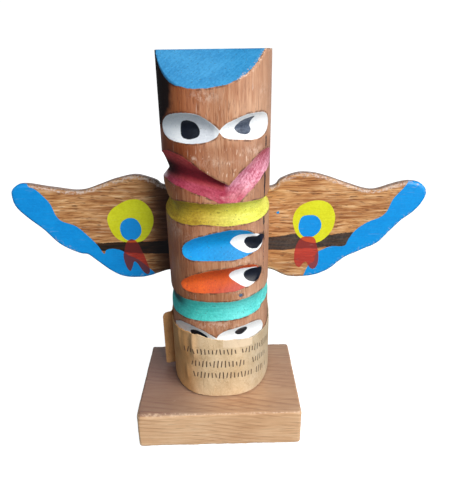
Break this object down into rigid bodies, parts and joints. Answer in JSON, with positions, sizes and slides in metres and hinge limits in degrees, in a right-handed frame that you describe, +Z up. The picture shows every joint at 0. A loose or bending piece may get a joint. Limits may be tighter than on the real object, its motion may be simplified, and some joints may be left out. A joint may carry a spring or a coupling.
{
  "type": "totem pole ornament",
  "caption": "Small carved and painted wooden totem pole with a flat wing board across its back, standing on a rectangular block, with a paper band round its foot.",
  "frame": {"origin": "middle of the block's underside", "axes": "+Z up along the pole; the carved front faces -Y; the wings spread along X"},
  "size_m": [0.201, 0.0544, 0.173],
  "materials": {
    "base_wood": "matte, edges worn",
    "pole_wood": "satin, carved and partly painted",
    "wing_oak": "satin, coarse grain, partly painted",
    "kraft_paper": "matte"
  },
  "bodies": {
    "root": {"base_block": "base_wood", "pole": "pole_wood", "wing_board": "wing_oak", "paper_band": "kraft_paper"}
  },
  "joints": []
}
